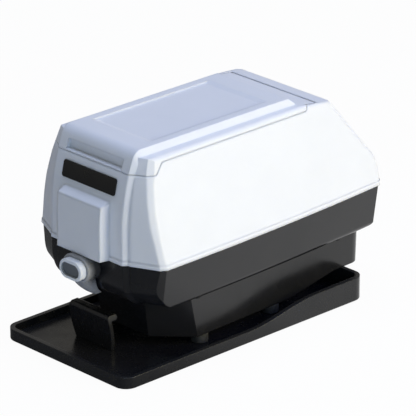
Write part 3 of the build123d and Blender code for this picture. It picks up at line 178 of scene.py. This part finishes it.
def plastic(name, colour, shade, rough, rough_spread, edge_round, specular=0.5, ripple=0.0, grain=0.0,
            second=None):
    """Moulded plastic with slight unevenness in colour, gloss and surface, and softened edges.

    second is a second colour and the function that says where it is.
    """
    n = Nodes(name)
    colour_out = n.mix(n.ramp(n.noise(CLOUD_SCALE, 4.0), 0.0, 1.0, *CLOUD_RANGE), colour, shade)
    if second:
        colour_out = n.mix(second[1](n), colour_out, second[0])
    n.join(colour_out, n.shader.inputs["Base Color"])
    patches = n.noise(PATCH_SCALE, 4.0, 0.6)
    n.join(n.ramp(patches, rough - rough_spread, rough + rough_spread), n.shader.inputs["Roughness"])
    n.set("Specular IOR Level", specular)
    bevel = n.add("Bevel", samples=EDGE_SAMPLES)
    bevel.inputs["Radius"].default_value = edge_round
    normal = bevel.outputs["Normal"]
    if ripple:
        normal = n.bump(n.noise(RIPPLE_SCALE, 2.0), ripple, RIPPLE_DEPTH, normal)
    if grain:
        normal = n.bump(n.noise(GRAIN_SCALE, 2.0, 0.6), grain, GRAIN_DEPTH, normal)
    n.join(normal, n.shader.inputs["Normal"])
    return n.material


def shell_white(name, edge_round):
    """The white of hood and lid."""
    return plastic(name, (0.78, 0.80, 0.86), (0.76, 0.78, 0.84), 0.34, 0.05, edge_round, specular=0.4,
                   ripple=0.05, grain=0.08)


def dish_mask(n):
    """1 inside the stadium-shaped dish of the dispense button, 0 on its rim and sides."""
    axes = n.axes()
    past_straight = n.math("SUBTRACT", n.math("ABSOLUTE", axes["X"]), DISH_STRAIGHT)
    spot = n.add("CombineXYZ")
    n.join(n.math("MAXIMUM", past_straight, 0.0), spot.inputs["X"])
    n.join(n.math("SUBTRACT", axes["Z"], BUTTON_Z), spot.inputs["Y"])
    reach = n.add("VectorMath", operation="LENGTH")
    n.join(spot.outputs[0], reach.inputs[0])
    inside, outside = DISH_BLUR
    return n.ramp(reach.outputs["Value"], 1.0, 0.0, DISH_RADIUS - inside, DISH_RADIUS + outside)


def barrel_painted_shade_mask(n):
    """Painted shade: 0 at the spout's mouth and on its beak, rising to 1 where the barrel runs in under
    the boss to the housing.
    """
    axes = n.axes()
    back = n.ramp(axes["Y"], 0.0, 1.0, *BARREL_PAINTED_SHADE)
    above_beak = n.ramp(axes["Z"], 0.0, 1.0, *BEAK_TOP)
    return n.math("MULTIPLY", back, above_beak)


def metal(name, colour, rough, brushed=0.0):
    """Metal with fine turning or brushing lines."""
    n = Nodes(name)
    lines = n.noise(LINE_SCALE, 3.0, 0.6, LINE_STRETCH)
    darker = tuple(c * LINE_DARKEN for c in colour)
    n.join(n.mix(n.ramp(lines, 0.0, 1.0, *CLOUD_RANGE), darker, colour), n.shader.inputs["Base Color"])
    n.set("Metallic", 1.0)
    spread = rough * LINE_ROUGH_SPREAD
    n.join(n.ramp(lines, rough - spread, rough + spread), n.shader.inputs["Roughness"])
    if brushed:
        n.join(n.bump(lines, brushed, LINE_DEPTH), n.shader.inputs["Normal"])
    return n.material


def rubber(name, colour, worn_colour):
    """Dull rubber, paler where it is worn."""
    n = Nodes(name)
    worn = n.noise(WORN_SCALE, 4.0)
    n.join(n.mix(n.ramp(worn, 0.0, 1.0), colour, worn_colour), n.shader.inputs["Base Color"])
    n.join(n.ramp(worn, *WORN_ROUGH), n.shader.inputs["Roughness"])
    n.set("Specular IOR Level", RUBBER_SPECULAR)
    n.join(n.bump(n.noise(RUBBER_GRAIN_SCALE), RUBBER_GRAIN, GRAIN_DEPTH), n.shader.inputs["Normal"])
    return n.material


def dress(material, *names):
    for name in names:
        slots = nodes[name].data.materials
        slots.clear()
        slots.append(material)


def dress_outside():
    dress(shell_white("moulded_white", 0.0012), "lid")
    dress(shell_white("hood_white", 0.003), "hood")
    dress(plastic("moulded_black", (0.010, 0.0105, 0.012), (0.013, 0.013, 0.015), 0.22, 0.05, 0.0008,
                  specular=0.38, ripple=0.06),
          "lower_housing", "base_pan", "switch_bezel", "power_rocker", "cord_gland")
    dress(plastic("tray_black", (0.010, 0.0105, 0.012), (0.014, 0.014, 0.016), 0.26, 0.06, 0.0008,
                  specular=0.3, ripple=0.03),
          "tray", "drip_shield")
    dress(plastic("plate_black", (0.006, 0.006, 0.006), (0.009, 0.009, 0.009), 0.3, 0.05, 0.0004,
                  specular=0.35),
          "name_plate")
    # The spout's second colour is painted shade on its barrel, darkest where the barrel meets the
    # housing.
    dress(plastic("spout_grey", (0.36, 0.36, 0.37), (0.33, 0.33, 0.34), 0.28, 0.05, 0.0005,
                  specular=0.4, second=((0.05, 0.05, 0.052), barrel_painted_shade_mask)),
          "spout")
    dress(plastic("button_white", (0.82, 0.84, 0.88), (0.80, 0.82, 0.86), 0.3, 0.05, 0.0006,
                  specular=0.4, second=((0.14, 0.15, 0.165), dish_mask)),
          "dispense_button")


def dress_inside_and_fasteners():
    dress(rubber("rubber_black", (0.02, 0.02, 0.02), (0.046, 0.046, 0.046)),
          "rubber_feet", "spout_gasket", "valve_seal", "chamber_o_ring", "shaft_seal", "tank_gasket")
    dress(metal("black_oxide", (0.035, 0.035, 0.038), 0.45), "foot_screws", "pan_screws", "hood_screws")
    dress(metal("zinc", (0.62, 0.62, 0.63), 0.3),
          "motor_screws", "bracket_screws", "deck_screws", "hinge_pins", "switch_pin", "button_spring",
          "valve_stem")
    dress(metal("chamber_aluminium", (0.70, 0.70, 0.71), 0.35, 0.3),
          "mixing_chamber", "heater_band", "thermostat", "motor_end_cap")
    dress(metal("motor_steel", (0.50, 0.50, 0.51), 0.4, 0.3),
          "motor_can", "motor_rotor", "motor_bearings", "motor_magnets", "motor_bracket")
    dress(plastic("inner_natural", (0.72, 0.72, 0.69), (0.68, 0.67, 0.63), 0.5, 0.08, 0.0004, grain=0.1),
          "chamber_cap", "whipper", "shaft_coupling", "deck_plate", "tank", "terminal_block",
          "micro_switch")
    dress(metal("brass", (0.70, 0.52, 0.26), 0.3), "inlet_fitting")


# ---------------------------------------------------------------- stage and lamps
FLOOR_SIZE = 6.0
FLOOR_DROP = 0.0004
FLOOR_COLOUR = (0.85, 0.85, 0.85)
FLOOR_ROUGH = 0.9
FLOOR_SPECULAR = 0.1
# The share of plain white in what a ray sees of the floor; the rest is lit paper with the shadow.
WHITE_SHARE = 0.96
# In reflections the floor darkens from full white to a share of it, along a direction.
FLAG_AWAY = (0.7, 0.7, 0.0)
FLAG_LINE = (-0.01, 0.08)
FLAG_SHARE = 0.15
# The share of white that reflections see in the world.
SKY_SHARE = 0.3
WORLD_COLOUR = (0.12, 0.10, 0.06)
AIM = (0.0, 0.0, 0.07)
# Each lamp's place, size, and power in red, green and blue.
LAMPS = {
    "key": ((1.7, 0.6, 0.45), (1.0, 1.0), (26.0, 23.5, 14.0)),
    "key_high": ((1.5, 0.5, 1.1), (1.0, 1.0), (1.6, 2.8, 8.8)),
    "top": ((0.0, 0.2, 1.9), (1.2, 1.2), (14.4, 17.0, 22.6)),
    "front": ((1.3, -1.3, 0.6), (0.8, 0.8), (2.5, 3.9, 5.1)),
}


def seen_share(tree, glossy_share):
    """How much of the white background a ray sees: all for the camera, a share for reflections."""
    path = tree.nodes.new("ShaderNodeLightPath")
    reflected = tree.nodes.new("ShaderNodeMath")
    reflected.operation = "MULTIPLY"
    tree.links.new(path.outputs["Is Glossy Ray"], reflected.inputs[0])
    if hasattr(glossy_share, "is_linked"):
        tree.links.new(glossy_share, reflected.inputs[1])
    else:
        reflected.inputs[1].default_value = glossy_share
    total = reflected.outputs[0]
    for ray in ("Is Camera Ray", "Is Transmission Ray"):
        larger = tree.nodes.new("ShaderNodeMath")
        larger.operation = "MAXIMUM"
        tree.links.new(total, larger.inputs[0])
        tree.links.new(path.outputs[ray], larger.inputs[1])
        total = larger.outputs[0]
    return total


def floor_paper():
    """Paper that is white to the camera with the shadow kept, and in reflections darker in front."""
    n = Nodes("floor_paper")
    n.set("Base Color", (*FLOOR_COLOUR, 1))
    n.set("Roughness", FLOOR_ROUGH)
    n.set("Specular IOR Level", FLOOR_SPECULAR)
    along = n.add("VectorMath", operation="DOT_PRODUCT")
    n.join(n.place(), along.inputs[0])
    along.inputs[1].default_value = FLAG_AWAY
    flag = n.ramp(along.outputs["Value"], FLAG_SHARE, 1.0, *FLAG_LINE)
    white_paper = n.add("Emission")
    n.join(seen_share(n.tree, flag), white_paper.inputs["Strength"])
    mixer = n.add("MixShader")
    n.join(n.math("MULTIPLY", seen_share(n.tree, 1.0), WHITE_SHARE), mixer.inputs["Fac"])
    n.join(n.shader.outputs["BSDF"], mixer.inputs[1])
    n.join(white_paper.outputs["Emission"], mixer.inputs[2])
    n.join(mixer.outputs["Shader"], n.tree.nodes["Material Output"].inputs["Surface"])
    return n.material


def make_stage():
    """Plain floor just under the tray."""
    mesh = bpy.data.meshes.new("floor")
    half = FLOOR_SIZE / 2
    corners = [(-half, -half, 0), (half, -half, 0), (half, half, 0), (-half, half, 0)]
    mesh.from_pydata(corners, [], [(0, 1, 2, 3)])
    floor = bpy.data.objects.new("floor", mesh)
    floor.location.z = -FLOOR_DROP
    bpy.context.scene.collection.objects.link(floor)
    floor.data.materials.append(floor_paper())


def area_lamp(name, place, size, light):
    """Rectangular lamp aimed at the machine; light is its power in red, green and blue."""
    data = bpy.data.lights.new(name, "AREA")
    data.shape = "RECTANGLE"
    data.size, data.size_y = size
    data.energy = max(light)
    data.color = [part / max(light) for part in light]
    lamp = bpy.data.objects.new(name, data)
    bpy.context.scene.collection.objects.link(lamp)
    lamp.location = place
    lamp.rotation_euler = (Vector(AIM) - Vector(place)).to_track_quat("-Z", "Y").to_euler()


def make_world():
    """Even, dim studio light from all round, behind a white background."""
    world = bpy.data.worlds.new("studio")
    bpy.context.scene.world = world
    world.use_nodes = True
    tree = world.node_tree
    mixer = tree.nodes.new("ShaderNodeMix")
    mixer.data_type = "RGBA"
    tree.links.new(seen_share(tree, SKY_SHARE), mixer.inputs["Factor"])
    mixer.inputs[MIX_FIRST].default_value = (*WORLD_COLOUR, 1)
    mixer.inputs[MIX_SECOND].default_value = (1, 1, 1, 1)
    tree.links.new(mixer.outputs[MIX_RESULT], tree.nodes["Background"].inputs["Color"])


bpy.context.scene.view_settings.view_transform = "Standard"
make_camera()
make_world()
make_stage()
for lamp_name, (lamp_place, lamp_size, lamp_light) in LAMPS.items():
    area_lamp(lamp_name, lamp_place, lamp_size, lamp_light)
dress_outside()
dress_inside_and_fasteners()
